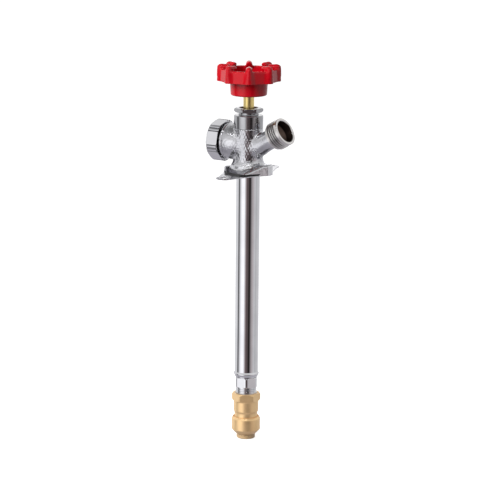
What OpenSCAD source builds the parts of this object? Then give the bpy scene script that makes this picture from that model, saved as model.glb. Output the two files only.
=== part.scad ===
// Frost-free hose bib, standing on the line of its barrel.
// +Z runs from the inlet to the handle, and the wall plane is z = 0 at the back of the flange.
// The hose outlet leans out along +X, the vacuum breaker points along -X,
// and the two screw slots of the flange lie along Y.

/* [Barrel and inlet] */
// Outside diameter of the barrel tube (7/8 inch copper)
tube_d = 22.2; // [21.8:0.1:22.6]
// Wall of the barrel tube
tube_wall = 1.0; // [0.9:0.05:1.2]
// Distance from the wall plane to the end of the barrel tube
tube_length = 193.7; // [150:0.1:400]
// Diameter of the rolled bead near the end of the barrel
bead_d = 23.9; // [23:0.1:25]
// Across flats of the inlet fitting's hexagon
inlet_hex_af = 20.2; // [19.5:0.1:21]

/* [Wall flange] */
// Distance between the two screw slots
slot_spacing = 80; // [76:1:82]
// Width of each screw slot
slot_w = 5.5; // [4.5:0.1:6]
// Length of each screw slot
slot_l = 8.5; // [7:0.1:9]
// Thickness of the base plate
plate_t = 2.6; // [2.4:0.1:4]
// Height of the raised centre above the wall plane
raised_h = 8.0; // [7:0.1:9]
// Length of the raised centre along Y
raised_l = 60; // [58:1:62]
// Width of the raised centre along X
raised_w = 35; // [33:1:37]

/* [Body] */
// Diameter of the cast body under the bonnet
body_d = 27.4; // [27:0.1:28]
// Diameter of the machined bonnet
bonnet_d = 27.3; // [27:0.1:27.4]
// Height where the machined bonnet begins
bonnet_z = 42.2; // [42:0.1:43]
// Height of the bonnet's top face
bonnet_top = 54.5; // [54.2:0.1:55]

/* [Hose outlet] */
// Height where the outlet's axis leaves the body's axis
outlet_z = 20; // [19:0.5:21]
// Lean of the outlet above the horizontal
outlet_lean = 29.5; // [28:0.5:31]
// Distance from the body's axis to the outlet's face
outlet_reach = 46; // [45:0.5:46.5]
// Outside diameter of the hose thread (3/4 inch garden hose)
hose_thread_d = 26.99; // [26.9:0.01:27]
// Pitch of the hose thread (11.5 to the inch)
hose_thread_pitch = 2.209; // [2.2:0.001:2.22]
// Number of thread crests
hose_thread_turns = 5; // [4:1:6]
// Bore at the outlet's mouth
mouth_d = 21; // [20:0.1:21.2]

/* [Vacuum breaker] */
// Height of the breaker's axis
breaker_z = 28.3; // [27.8:0.1:28.5]
// Diameter of the boss at its face
boss_d = 34; // [33:0.5:34.5]
// Distance from the body's axis to the boss's face
boss_face = 22; // [21.8:0.1:22.2]
// Across flats of the six-sided cap
cap_af = 36.2; // [36:0.1:36.6]
// Diameter that the cap's corners are turned to
cap_d = 38.6; // [38.2:0.1:39]
// Turn of the cap's flats above the horizontal, as it was tightened
cap_turn = 12.5; // [0:0.5:59.5]
// Distance from the body's axis to the cap's rim
cap_rim = 23.4; // [23.2:0.1:23.8]
// Distance from the body's axis to the cap's domed end
cap_end = 35.6; // [35.4:0.1:37]

/* [Handle] */
// Number of lobes on the wheel
lobes = 8; // [6:1:8]
// Diameter over the lobes
wheel_d = 59; // [57:0.5:60]
// Diameter between the lobes
valley_d = 51.5; // [50:0.5:52]
// Width of each lobe's ridge
lobe_w = 6.4; // [5:0.2:7]
// Angle of the first lobe when the valve is shut
lobe_start = 32.6; // [0:0.1:45]
// Height of the hub's underside
hub_bottom = 72.7; // [72.5:0.1:73]
// Height of the rim's underside
rim_bottom = 85.7; // [85:0.1:86]
// Height of the rim's top edge between lobes
rim_top = 97.3; // [97:0.1:98]
// Height of the tops of the lobes
lobe_top = 101.4; // [100:0.1:102]

/* [Stem] */
// Diameter of the stem through the packing
stem_d = 10; // [9.6:0.1:10.2]
// Diameter of the stem's screw
screw_d = 14; // [13.6:0.1:14.2]
// Diameter of the operating rod
rod_d = 8; // [7:0.5:8]
// Rise of the stem from shut to fully open
lift = 6.35; // [5:0.05:6.35]
// Radial clearance of every running fit
running = 0.05; // [0.02:0.01:0.1]

/* [Coupling] */
// Diameter of the copper pipe that the coupling takes, with its clearance
pipe_bore_d = 16; // [15.95:0.01:16.05]
// Diameter that the corners of the coupling's hexagon are turned to
coupling_hex_d = 27.2; // [27:0.1:27.4]
// Across flats of the coupling's hexagon
coupling_hex_af = 23.8; // [23.7:0.1:24.2]
// Diameter of the coupling's end cap
end_cap_d = 27.3; // [27:0.1:28]
// Length from the wall plane to the coupling's mouth
inlet_reach = 254; // [253.8:0.1:254.4]

/* [Hidden] */
$fn = 96;
eps = 0.01;
tube_r = tube_d / 2;
tube_in_r = tube_r - tube_wall;
// The casting's neck, bowl and foot
outlet_neck_r = 9;
outlet_root_r = 13;
thread_depth = 1.35;
thread_shoulder_r = 12.1;
bowl_r = 12.4;
foot_flare = 2.2;
// The waterway inside the body
outlet_bore_r = 6.5;
breaker_port_r = 5;
breaker_chamber_r = 9.8;
chamber_r = 9.5;
chamber_top = 31;
socket_top = 13.5;
guide_r = screw_d / 2 + running;
gland_r = 9.3;
gland_z = 43.9;
packing_h = 4.5;
washer_h = 1.0;
nut_bottom = gland_z + packing_h + washer_h;
nut_hex_z = 57.1;
nut_top = 61.0;
nut_af = 23.8;
// Heights along the stem, valve shut
screw_low = 28;
screw_high = gland_z - lift - 0.4;
stem_top = 84;
// The valve seat and the washer above it
seat_z = -196;
seat_in_r = 4.2;
seat_out_r = 5.4;
valve_chamber_r = 8.9;
washer_gap = 0.05;
washer_low = seat_z + washer_gap;
washer_t = 3.4;
cup_r = 7.2;
cup_low = washer_low + 1.2;
cup_floor = washer_low + washer_t;
cup_top = cup_floor + 7.5;
button_r = 5.4;
button_low = cup_floor + 2.6;
button_t = 1.4;
// The inlet fitting
inlet_hex_top = -194.7;
inlet_hex_low = -204;
inlet_neck_low = -210;
inlet_low = -224;
inlet_shank_r = 9.6;
inlet_neck_r = 9.9;
inlet_bore_r = 7;
inlet_thread_r = 10.2;
tape_t = 0.15;
// The coupling, from its hexagon to its mouth
coupling_hex_low = -217.3;
coupling_hex_chamfer = 1.2;
coupling_barrel_r = 11.75;
coupling_neck_r = 11.1;
coupling_spigot_r = 12.0;
coupling_stop_r = 6.5;
barrel_low = -227.8;
coupling_neck_low = -230;
cap_top_z = -234;
cap_straight_low = -245.5;
cap_low = -249.3;
pipe_r = pipe_bore_d / 2;
socket_top_z = -228;
seal_r = 10.7;
seal_top = -236;
ring_seal_h = 2.7;
protector_h = 2.6;
grab_t = 0.6;
grab_z = seal_top - ring_seal_h - protector_h - grab_t;
collar_travel = 1.5;
collar_lip_r = 8.8;
collar_nose_r = 9.4;
// The breaker, measured outwards from the body's axis
breaker_floor = 12;
breaker_step = 14.5;
breaker_thread_r = 11.5;
insert_low = 16;
insert_top = 31;
web_low = 17;
web_t = 2;
spider_low = 18;
neck_r = 11;
port_r = 6;
guide_hole_r = 1.5 + running;
seal_low = 12.2;
seal_t = 2.4;

// A tube along Z from z0 to z1, or a solid rod where inner is 0.
module tube(z0, z1, outer, inner) {
    translate([0, 0, z0]) difference() {
        cylinder(h = z1 - z0, r = outer);
        if (inner > 0) translate([0, 0, -eps]) cylinder(h = z1 - z0 + 2 * eps, r = inner);
    }
}

// A cone or cylinder along Z between two heights.
module taper(z0, z1, r0, r1) {
    translate([0, 0, z0]) cylinder(h = z1 - z0, r1 = r0, r2 = r1);
}

// A hexagonal bar along Z, with its corners turned to a circle.
module hexagon(z0, z1, flats, corners) {
    intersection() {
        translate([0, 0, z0]) cylinder(h = z1 - z0, d = flats / cos(30), $fn = 6);
        translate([0, 0, z0]) cylinder(h = z1 - z0, d = corners);
    }
}

// Local +Z along the hose outlet, from the body's axis.
module along_outlet() {
    translate([0, 0, outlet_z]) rotate([0, 90 - outlet_lean, 0]) children();
}

// Local +Z along the breaker, outwards from the body's axis.
module along_breaker() {
    translate([0, 0, breaker_z]) rotate([0, -90, 0]) children();
}

// Points on an arc, from angle a0 to a1.
function arc(centre, r, a0, a1, steps) =
    [for (i = [0 : steps]) let (a = a0 + (a1 - a0) * i / steps)
        centre + r * [cos(a), sin(a)]];

// Oval base plate: a wide middle and a rounded ear at each end.
module plate_outline() {
    middle_r = 22;
    ear_r = 8;
    ear_y = slot_spacing / 2;
    lean = asin((middle_r - ear_r) / ear_y);
    polygon(concat(
        arc([0, 0], middle_r, -lean, lean, 6), arc([0, ear_y], ear_r, lean, 180 - lean, 16),
        arc([0, 0], middle_r, 180 - lean, 180 + lean, 6),
        arc([0, -ear_y], ear_r, 180 + lean, 360 - lean, 16)
    ));
}

// A bar with round ends along Y.
module round_bar(height, length, width) {
    linear_extrude(height) polygon(concat(
        arc([0, (length - width) / 2], width / 2, 0, 180, 32),
        arc([0, (width - length) / 2], width / 2, 180, 360, 32)
    ));
}

module screw_slots() {
    half_run = (slot_l - slot_w) / 2;
    for (side = [-1, 1]) translate([0, side * slot_spacing / 2, -1]) {
        for (end = [-1, 1]) translate([0, end * half_run, 0]) cylinder(h = plate_t + 2, d = slot_w);
        translate([-slot_w / 2, -half_run, 0]) cube([slot_w, 2 * half_run, plate_t + 2]);
    }
}

// Crests of the hose thread as rings, each with a flat of the full diameter.
module hose_thread() {
    crest = hose_thread_d / 2;
    root = crest - thread_depth;
    half_flat = hose_thread_pitch * 0.15;
    half_foot = hose_thread_pitch * 0.4;
    face = outlet_reach;
    low = face - 1.7 - hose_thread_turns * hose_thread_pitch;
    rotate_extrude() polygon([[0, low - 1.2], [root, low - 1.2], [root, face], [0, face]]);
    for (i = [0 : hose_thread_turns - 1])
        translate([0, 0, low + (i + 0.5) * hose_thread_pitch]) rotate_extrude() polygon([
            [root - 0.5, -half_foot], [root, -half_foot], [crest, -half_flat],
            [crest, half_flat], [root, half_foot], [root - 0.5, half_foot]
        ]);
}

module body_outside() {
    linear_extrude(plate_t) plate_outline();
    round_bar(raised_h, raised_l, raised_w);
    taper(raised_h, 13, body_d / 2 + foot_flare, body_d / 2);
    taper(raised_h - 1, bonnet_z - 0.5, body_d / 2, body_d / 2);
    taper(bonnet_z - 0.6, bonnet_z, bonnet_d / 2 - 0.4, bonnet_d / 2 - 0.4);
    taper(bonnet_z, bonnet_top - 1.2, bonnet_d / 2, bonnet_d / 2);
    taper(bonnet_top - 1.2, bonnet_top, bonnet_d / 2, bonnet_d / 2 - 1.2);
    along_outlet() {
        cylinder(h = outlet_reach - 12, r = outlet_neck_r);
        taper(11, 21, outlet_root_r, outlet_neck_r);
        taper(outlet_reach - 15.6, outlet_reach - 13.8, outlet_neck_r, thread_shoulder_r);
        hose_thread();
    }
    along_breaker() {
        taper(0, breaker_floor, bowl_r, bowl_r);
        taper(breaker_floor, 17.5, bowl_r, boss_d / 2);
        taper(17.5, boss_face, boss_d / 2, boss_d / 2);
    }
}

module body_inside() {
    // Socket for the barrel, waterway, screw guide and gland
    taper(-1, socket_top, tube_r, tube_r);
    taper(socket_top - 1, chamber_top, chamber_r, chamber_r);
    taper(chamber_top - 1, gland_z + 1, guide_r, guide_r);
    taper(gland_z, bonnet_top + 1, gland_r, gland_r);
    along_outlet() {
        cylinder(h = outlet_reach, r = outlet_bore_r);
        taper(outlet_reach - 11, outlet_reach - 8, outlet_bore_r, mouth_d / 2);
        taper(outlet_reach - 8, outlet_reach + 1, mouth_d / 2, mouth_d / 2);
    }
    along_breaker() {
        taper(5, breaker_floor + 1, breaker_port_r, breaker_port_r);
        taper(breaker_floor, breaker_step + 1, breaker_chamber_r, breaker_chamber_r);
        taper(breaker_step, boss_face + 1, breaker_thread_r, breaker_thread_r);
    }
}

module valve_body() {
    color("silver") difference() {
        body_outside();
        body_inside();
        screw_slots();
    }
}

module barrel_tube() {
    bead_mid = -tube_length + 2.7;
    color("gainsboro") difference() {
        union() {
            taper(-tube_length, socket_top, tube_r, tube_r);
            taper(bead_mid - 2, bead_mid - 1.1, tube_r, bead_d / 2);
            taper(bead_mid - 1.1, bead_mid + 1.1, bead_d / 2, bead_d / 2);
            taper(bead_mid + 1.1, bead_mid + 2, bead_d / 2, tube_r);
        }
        taper(-tube_length - 1, socket_top + 1, tube_in_r, tube_in_r);
    }
}

// The shank fills the end of the barrel, and the raised ring in its chamber is the valve seat.
module seat_body() {
    shank_top = -178;
    chamber_floor = seat_z - 1.2;
    color("silver") difference() {
        union() {
            taper(-tube_length, shank_top, tube_in_r, tube_in_r);
            taper(inlet_hex_top - 1, -tube_length + 1, inlet_shank_r, inlet_shank_r);
            rotate([0, 0, 2.6]) hexagon(inlet_hex_low, inlet_hex_top, inlet_hex_af, 22.2);
            taper(inlet_neck_low, inlet_hex_low, inlet_neck_r, inlet_neck_r);
            taper(inlet_low, inlet_neck_low, inlet_thread_r, inlet_thread_r);
        }
        taper(seat_z, shank_top + 1, valve_chamber_r, valve_chamber_r);
        tube(chamber_floor, seat_z + 1, valve_chamber_r, seat_out_r);
        taper(chamber_floor - 2, seat_z + 1, seat_in_r, seat_in_r);
        taper(inlet_hex_low, chamber_floor - 1, 6, seat_in_r);
        taper(inlet_low - 1, inlet_hex_low + eps, inlet_bore_r, inlet_bore_r);
        for (z = [-205.4, -207.0, -208.6]) tube(z, z + 0.5, 10.5, 9.5);
    }
}

module thread_seal_tape() {
    color("white") tube(inlet_low + 1, inlet_neck_low - 0.5, inlet_thread_r + tape_t, inlet_thread_r);
}

module packing_nut() {
    color("silver") difference() {
        union() {
            taper(nut_bottom, nut_hex_z, gland_r, gland_r);
            rotate([0, 0, 34.6]) intersection() {
                hexagon(nut_hex_z, nut_top, nut_af, 25.8);
                taper(nut_hex_z, nut_top, 13.6, 12.3);
            }
        }
        taper(nut_bottom - 1, nut_top + 1, stem_d / 2 + 0.35, stem_d / 2 + 0.35);
        taper(nut_top - 2.2, nut_top + eps, stem_d / 2 + 0.35, 7.6);
    }
}

module packing_washer() {
    color("goldenrod")
        tube(gland_z + packing_h, nut_bottom, gland_r - 0.1, stem_d / 2 + 0.35);
}

module stem_packing() {
    color("white") tube(gland_z, gland_z + packing_h, gland_r, stem_d / 2 + running);
}

// One lobe: a ridge with a round back, laid along the radius over a corner of the rim.
module lobe() {
    inner = 19.5;
    outer = wheel_d / 2;
    half = lobe_w / 2;
    intersection() {
        union() {
            translate([inner, 0, lobe_top - half]) rotate([0, 90, 0])
                cylinder(h = outer - inner, r = half);
            translate([inner, -half, rim_bottom])
                cube([outer - inner, lobe_w, lobe_top - half - rim_bottom]);
        }
        taper(rim_bottom, lobe_top + 1, outer, outer - 1.5);
    }
}

// An open stepped cup, eight-sided above, with a boss for the stem.
module handle() {
    rim_r = valley_d / 2;
    hub_r = 17.7;
    hub_foot_r = 16.9;
    foot_chamfer = 1.2;
    dish_r = 19.6;
    wall = 2.6;
    boss_r = 8;
    color("crimson") difference() {
        union() {
            taper(hub_bottom, hub_bottom + foot_chamfer, hub_foot_r - foot_chamfer, hub_foot_r);
            taper(hub_bottom + foot_chamfer, rim_bottom + 1, hub_foot_r, hub_r);
            rotate([0, 0, lobe_start]) translate([0, 0, rim_bottom])
                cylinder(h = rim_top - rim_bottom, r = rim_r / cos(180 / lobes), $fn = lobes);
            for (i = [0 : lobes - 1]) rotate([0, 0, lobe_start + i * 360 / lobes]) lobe();
        }
        taper(rim_bottom + wall, lobe_top - lobe_w / 2, rim_r - wall, rim_r - wall);
        taper(rim_bottom + wall, lobe_top + 1, dish_r, dish_r);
        difference() {
            taper(hub_bottom + wall, rim_bottom + wall + 1, hub_r - wall - 0.8, hub_r - wall);
            taper(hub_bottom, rim_bottom + wall + 2, boss_r, boss_r);
        }
        taper(stem_top, lobe_top + 1, boss_r + 1, boss_r + 1);
        taper(hub_bottom - 1, stem_top + 1, stem_d / 2, stem_d / 2);
    }
}

module handle_screw() {
    thread_r = 2.0;
    head_r = 5.6;
    color("silver") difference() {
        union() {
            taper(stem_top - 9, stem_top, thread_r, thread_r);
            taper(stem_top, stem_top + 1.6, head_r, head_r);
            taper(stem_top + 1.6, stem_top + 3, head_r, head_r * 0.6);
        }
        for (turn = [0, 90]) rotate([0, 0, turn])
            translate([-2.6, -0.5, stem_top + 1.4]) cube([5.2, 1, 3]);
    }
}

// The screw below works in the body's guide; the neck below it holds the operating rod.
module stem() {
    color("goldenrod") difference() {
        union() {
            taper(screw_low - 6, screw_low, 5.6, 5.6);
            taper(screw_low, screw_high, screw_d / 2, screw_d / 2);
            taper(screw_high, stem_top, stem_d / 2, stem_d / 2);
        }
        taper(screw_low - 7, screw_low + 4, rod_d / 2, rod_d / 2);
        taper(stem_top - 10, stem_top + 1, 2.0, 2.0);
    }
}

module operating_rod() {
    color("goldenrod") {
        taper(button_low, screw_low + 4, rod_d / 2, rod_d / 2);
        taper(button_low, button_low + button_t, button_r - running, button_r - running);
    }
}

// The cup's lip is closed over the rod's button, so the cup swivels and never drops off.
module washer_cup() {
    color("goldenrod") difference() {
        taper(cup_low, cup_top, cup_r, cup_r);
        taper(cup_low - 1, cup_floor, cup_r - 1, cup_r - 1);
        taper(button_low - running, button_low + button_t + running, button_r, button_r);
        taper(button_low, cup_top + 1, rod_d / 2 + running, rod_d / 2 + running);
        taper(cup_floor - 1, button_low - 0.8, 1.5, 1.5);
    }
}

module seat_washer() {
    color("dimgray") difference() {
        taper(washer_low, cup_floor, cup_r - 1, cup_r - 1);
        taper(washer_low - 1, cup_floor + 1, 1.5, 1.5);
        taper(washer_low - 1, washer_low + 1.4, 3.2, 3.2);
    }
}

module washer_screw() {
    color("goldenrod") difference() {
        union() {
            taper(washer_low + 1.4, button_low - 0.9, 1.5, 1.5);
            taper(washer_low + 0.2, washer_low + 1.4, 3.0, 3.0);
        }
        translate([-3.5, -0.4, washer_low - 1]) cube([7, 0.8, 1.7]);
    }
}

module breaker_cap() {
    color("silver") along_breaker() difference() {
        intersection() {
            rotate([0, 0, cap_turn]) hexagon(cap_rim, cap_end, cap_af, cap_d);
            union() {
                taper(cap_rim, cap_end - 1.4, cap_d / 2, cap_d / 2 - 0.3);
                taper(cap_end - 1.4, cap_end, cap_d / 2 - 0.3, cap_d / 2 - 3);
            }
        }
        difference() {
            taper(cap_rim - 1, cap_end - 3.4, 16.6, 16.6);
            tube(cap_rim + 4.4, cap_end, neck_r + 1.8, 0);
        }
        taper(cap_rim, insert_top, neck_r, neck_r);
    }
}

// A threaded ring with the air seat at its port and a spider that guides the poppet.
// Windows in its neck let the air in.
module breaker_insert() {
    window_z = boss_face + 0.8;
    color("dimgray") along_breaker() difference() {
        union() {
            taper(insert_low, boss_face, breaker_thread_r, breaker_thread_r);
            taper(boss_face - 1, insert_top, neck_r, neck_r);
        }
        taper(insert_low - 1, web_low, 9.6, 9.6);
        taper(web_low - 1, web_low + web_t + 1, port_r, port_r);
        taper(web_low + web_t, insert_top + 1, 9.2, 9.2);
        for (turn = [0 : 60 : 300]) rotate([0, 0, turn])
            translate([0, -2, window_z]) cube([20, 4, 3]);
    }
    color("dimgray") along_breaker() difference() {
        union() {
            taper(spider_low, spider_low + web_t, 2.6, 2.6);
            for (turn = [0 : 120 : 240]) rotate([0, 0, turn])
                translate([0, -0.8, spider_low]) cube([port_r + 1.2, 1.6, web_t]);
        }
        taper(spider_low - 1, spider_low + web_t + 1, guide_hole_r, guide_hole_r);
    }
}

module breaker_o_ring() {
    section_r = 0.75;
    color("black") along_breaker() translate([0, 0, breaker_step + section_r])
        rotate_extrude() translate([breaker_thread_r - section_r - 0.02, 0]) circle(r = section_r, $fn = 32);
}

module breaker_poppet() {
    color("white") along_breaker() {
        taper(seal_low - 1.2, seal_low, 3.6, 3.6);
        taper(seal_low - 1, seal_low + seal_t + 8, 1.5, 1.5);
        taper(seal_low + seal_t, seal_low + seal_t + 0.4, 5.4, 5.4);
    }
}

module breaker_seal() {
    color("black") along_breaker() tube(seal_low, seal_low + seal_t, 8.4, 1.5);
}

// Three open coils between the spider and the poppet's plate.
module breaker_spring() {
    wire_r = 0.25;
    coil_r = 4.6;
    low = seal_low + seal_t + 0.4 + wire_r;
    high = spider_low - wire_r;
    color("silver") along_breaker() for (i = [0 : 2])
        translate([0, 0, low + i * (high - low) / 2]) rotate_extrude()
            translate([coil_r, 0]) circle(r = wire_r - 0.02, $fn = 24);
}

module coupling_hexagon() {
    shoulder = inlet_neck_low - coupling_hex_chamfer;
    intersection() {
        hexagon(coupling_hex_low, inlet_neck_low, coupling_hex_af, coupling_hex_d);
        union() {
            taper(coupling_hex_low, shoulder, coupling_hex_d / 2, coupling_hex_d / 2);
            taper(shoulder, inlet_neck_low, coupling_hex_d / 2, coupling_hex_d / 2 - coupling_hex_chamfer);
        }
    }
}

module coupling_body() {
    color("peru") difference() {
        union() {
            rotate([0, 0, 32.6]) coupling_hexagon();
            taper(barrel_low, coupling_hex_low + 1, coupling_barrel_r, coupling_barrel_r);
            taper(coupling_neck_low, barrel_low + eps, coupling_neck_r, coupling_barrel_r);
            taper(cap_top_z, coupling_neck_low + eps, coupling_neck_r, coupling_neck_r);
            taper(seal_top, cap_top_z + eps, coupling_spigot_r, coupling_spigot_r);
        }
        taper(inlet_low, inlet_neck_low + 1, inlet_thread_r + tape_t, inlet_thread_r + tape_t);
        taper(socket_top_z - 1, inlet_low + 1, coupling_stop_r, coupling_stop_r);
        taper(seal_top - 1, socket_top_z, pipe_r, pipe_r);
    }
}

// The cap is closed over the body's end and keeps the rings and the collar in.
module coupling_end_cap() {
    lip_top = cap_low + 1.4;
    color("peru") difference() {
        union() {
            taper(cap_straight_low, cap_top_z - 1, end_cap_d / 2, end_cap_d / 2);
            taper(cap_top_z - 1, cap_top_z, end_cap_d / 2, coupling_spigot_r + 0.4);
            taper(cap_low, cap_straight_low, 9.6, end_cap_d / 2);
        }
        taper(seal_top, cap_top_z + 1, coupling_spigot_r, coupling_spigot_r);
        taper(grab_z, seal_top + eps, seal_r, seal_r);
        taper(lip_top, grab_z + eps, collar_nose_r + 0.4, collar_nose_r + 0.4);
        taper(cap_low - 1, lip_top + eps, collar_lip_r + 2 * running, collar_lip_r + 2 * running);
    }
}

module coupling_o_ring() {
    section_r = (seal_r - pipe_r) / 2 - 0.02;
    color("black") translate([0, 0, seal_top - ring_seal_h / 2]) rotate_extrude()
        translate([(seal_r + pipe_r) / 2, 0]) circle(r = section_r, $fn = 32);
}

module o_ring_protector() {
    z = seal_top - ring_seal_h - protector_h;
    color("white") tube(z, z + protector_h, seal_r, pipe_r);
}

module grab_ring() {
    teeth = 16;
    color("silver") difference() {
        tube(grab_z, grab_z + grab_t, seal_r, pipe_r + 0.15);
        for (i = [0 : teeth - 1]) rotate([0, 0, i * 360 / teeth])
            translate([pipe_r - 0.4, -0.35, grab_z - 1]) cube([1.4, 0.7, 3]);
    }
}

// A sleeve whose nose opens the grab ring's teeth when the collar is pushed in.
module release_collar() {
    nose_top = grab_z - collar_travel - 0.4;
    rib_low = cap_low + 1.6;
    color("darkgoldenrod") difference() {
        union() {
            taper(-inlet_reach, nose_top, collar_lip_r, collar_lip_r);
            taper(rib_low, nose_top - 0.8, collar_nose_r, collar_nose_r);
            taper(nose_top - 0.8, nose_top, collar_nose_r, collar_nose_r - 0.5);
        }
        taper(-inlet_reach - 1, nose_top + 1, pipe_r, pipe_r);
    }
}

valve_body();
barrel_tube();
seat_body();
thread_seal_tape();
packing_nut();
packing_washer();
stem_packing();
handle();
handle_screw();
stem();
operating_rod();
washer_cup();
seat_washer();
washer_screw();
breaker_cap();
breaker_insert();
breaker_o_ring();
breaker_poppet();
breaker_seal();
breaker_spring();
coupling_body();
coupling_end_cap();
coupling_o_ring();
o_ring_protector();
grab_ring();
release_collar();
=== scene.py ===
from math import cos, hypot, pi, radians, sin, tan

import bmesh
import bpy
import numpy as np
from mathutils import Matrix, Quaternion, Vector


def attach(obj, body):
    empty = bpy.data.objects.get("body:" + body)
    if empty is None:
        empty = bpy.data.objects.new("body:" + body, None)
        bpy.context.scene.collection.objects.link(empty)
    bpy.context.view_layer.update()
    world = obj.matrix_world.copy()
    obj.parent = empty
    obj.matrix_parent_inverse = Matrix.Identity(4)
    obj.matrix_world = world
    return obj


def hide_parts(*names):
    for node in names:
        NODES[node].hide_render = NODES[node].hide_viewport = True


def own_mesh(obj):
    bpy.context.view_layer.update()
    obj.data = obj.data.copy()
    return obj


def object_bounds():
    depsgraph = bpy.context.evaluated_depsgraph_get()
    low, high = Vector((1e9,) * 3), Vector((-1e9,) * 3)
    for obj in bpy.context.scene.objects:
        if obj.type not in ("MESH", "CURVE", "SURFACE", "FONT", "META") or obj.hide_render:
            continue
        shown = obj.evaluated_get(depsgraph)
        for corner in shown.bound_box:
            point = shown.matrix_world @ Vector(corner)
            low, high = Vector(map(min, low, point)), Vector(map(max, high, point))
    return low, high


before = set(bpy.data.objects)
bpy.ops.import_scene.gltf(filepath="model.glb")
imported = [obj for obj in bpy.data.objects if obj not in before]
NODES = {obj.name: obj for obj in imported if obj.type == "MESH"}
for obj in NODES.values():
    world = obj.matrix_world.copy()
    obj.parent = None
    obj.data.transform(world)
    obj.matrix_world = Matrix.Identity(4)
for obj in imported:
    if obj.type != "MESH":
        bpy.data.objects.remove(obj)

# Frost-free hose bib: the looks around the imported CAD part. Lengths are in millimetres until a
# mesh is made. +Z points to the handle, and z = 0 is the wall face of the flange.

MM = 0.001
CAD_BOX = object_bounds()

# ---------------------------------------------------------------- driving sizes
FACING = 32.6            # azimuth of the photograph's view, which a lobe of the wheel faces

# Casting and its machined bonnet
BODY_R = 13.7
BODY_LOW = 1.0
BONNET_R = 13.65
BONNET_Z = 42.2
BONNET_TOP = 54.5
GLAND_R = 9.3
GUIDE_R = 7.05           # of the hole that the stem's screw works in
GUIDE_TOP = 43.9

# Wall flange
PLATE_TOP = 1.0
PLATE_R = 22             # of the plate's round middle
EAR_Y = 40               # of the mounting slots
EAR_R = 8
SLOT_R = 2.75
SLOT_HALF = 1.5          # half of the slot's straight part
DIAMOND_SIDE = 17.0      # middles and radii of the circles that the raised diamond runs round
DIAMOND_SIDE_R = 8.5
DIAMOND_END = 17.0
DIAMOND_END_R = 13.0
GAP_Z = 1.6              # of the gap under the raised diamond
GAP_HALF = 0.7
GAP_Y = 19               # middle and half length of the gap, on both sides
GAP_REACH = 8
FLANGE_TOP = 9.5         # of the part with the flange's finish

# Hose outlet
OUTLET_Z = 20.0          # where the outlet's axis leaves the body's axis
OUTLET_LEAN = radians(29.5)
OUTLET_REACH = 46.0
NECK_R = 9.2
NECK_END = 33.0
WATERWAY_R = 6.5
THREAD_START = 32.0      # of the threaded piece, which overlaps the neck
THREAD_R = 13.495        # crest of the hose thread
THREAD_ROOT_R = 12.15
THREAD_PITCH = 2.209
MOUTH_R = 10.5

# Vacuum breaker
BREAKER_Z = 28.3
BOSS_R = 17.0
BOSS_FACE = 22.0
CAP_RIM = 23.4
CAP_END = 35.6
CAP_AF = 36.2
CAP_TURNED_R = 19.3
CAP_TURN = 12.5          # of the cap's flats above the horizontal
GROOVE_TURNS = (20.5, 29.0)    # of the cap's grooves, in degrees from the middle of a flat
GROOVE_HALF = 1.9
SPIDER_LOW = 18.0        # of the face that the breaker's spring rests on

# Barrel
TUBE_R = 11.1
TUBE_IN_R = 10.1
TUBE_TOP = 13.5
TUBE_LOW = -193.7
BEAD_R = 11.95
BEAD_UP = 2.7            # middle of the bead above the barrel's end
BEAD_HALF = 2.4

# Coupling
COUPLING_TOP = -210.0


# ---------------------------------------------------------------- meshes
def mesh_object(name, points, faces, smooth_angle=35):
    """An object from points in millimetres, smooth except across edges sharper than smooth_angle."""
    mesh = bpy.data.meshes.new(name)
    mesh.from_pydata((np.asarray(points) * MM).tolist(), [], [list(map(int, f)) for f in faces])
    merged = bmesh.new()
    merged.from_mesh(mesh)
    bmesh.ops.remove_doubles(merged, verts=merged.verts, dist=1e-8)
    merged.to_mesh(mesh)
    merged.free()
    mesh.validate()
    mesh.update()
    mesh.shade_smooth()
    mesh.set_sharp_from_angle(angle=radians(smooth_angle))
    piece = bpy.data.objects.new(name, mesh)
    bpy.context.scene.collection.objects.link(piece)
    return piece


def rounded(corners, steps=4):
    """An outline through (r, z) corners, each rounded by its third value, as far as its sides allow."""
    out = []
    count = len(corners)
    for i, (r, z, fillet) in enumerate(corners):
        here = np.array([r, z], float)
        before = np.array(corners[i - 1][:2], float) - here
        after = np.array(corners[(i + 1) % count][:2], float) - here
        la, lb = np.linalg.norm(before), np.linalg.norm(after)
        if fillet <= 0 or la < 1e-6 or lb < 1e-6:
            out.append(here)
            continue
        ua, ub = before / la, after / lb
        half = np.arccos(np.clip(ua @ ub, -1, 1)) / 2
        reach = min(fillet / tan(half), 0.49 * la, 0.49 * lb)
        start, end = here + ua * reach, here + ub * reach
        for t in np.linspace(0, 1, steps + 1):
            out.append((1 - t) ** 2 * start + 2 * t * (1 - t) * here + t * t * end)
    return np.array(out)


def turned(name, outline, sides=128, shape=None, smooth_angle=35):
    """A closed outline of (r, z) points swept round Z. shape(angle, r, z) may change r.

    An outline that starts and ends at r = 0 closes on the axis.
    """
    outline = np.asarray(outline, float)
    ahead = np.roll(outline, -1, axis=0)
    if (outline[:, 0] * ahead[:, 1] - ahead[:, 0] * outline[:, 1]).sum() < 0:
        outline = outline[::-1]
    angles = np.arange(sides) * 2 * pi / sides
    a, r = np.meshgrid(angles, outline[:, 0])
    z = np.repeat(outline[:, 1][:, None], sides, axis=1)
    if shape is not None:
        r = shape(a, r, z)
    points = np.stack([r * np.cos(a), r * np.sin(a), z], axis=-1).reshape(-1, 3)
    rows = len(outline)
    i, j = np.meshgrid(np.arange(rows), np.arange(sides), indexing="ij")
    k, n = (i + 1) % rows, (j + 1) % sides
    faces = np.stack([i * sides + j, i * sides + n, k * sides + n, k * sides + j], axis=-1)
    on_axis = outline[:, 0] == 0
    faces = faces[~(on_axis & np.roll(on_axis, -1))].reshape(-1, 4)
    return mesh_object(name, points, faces, smooth_angle)


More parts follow.
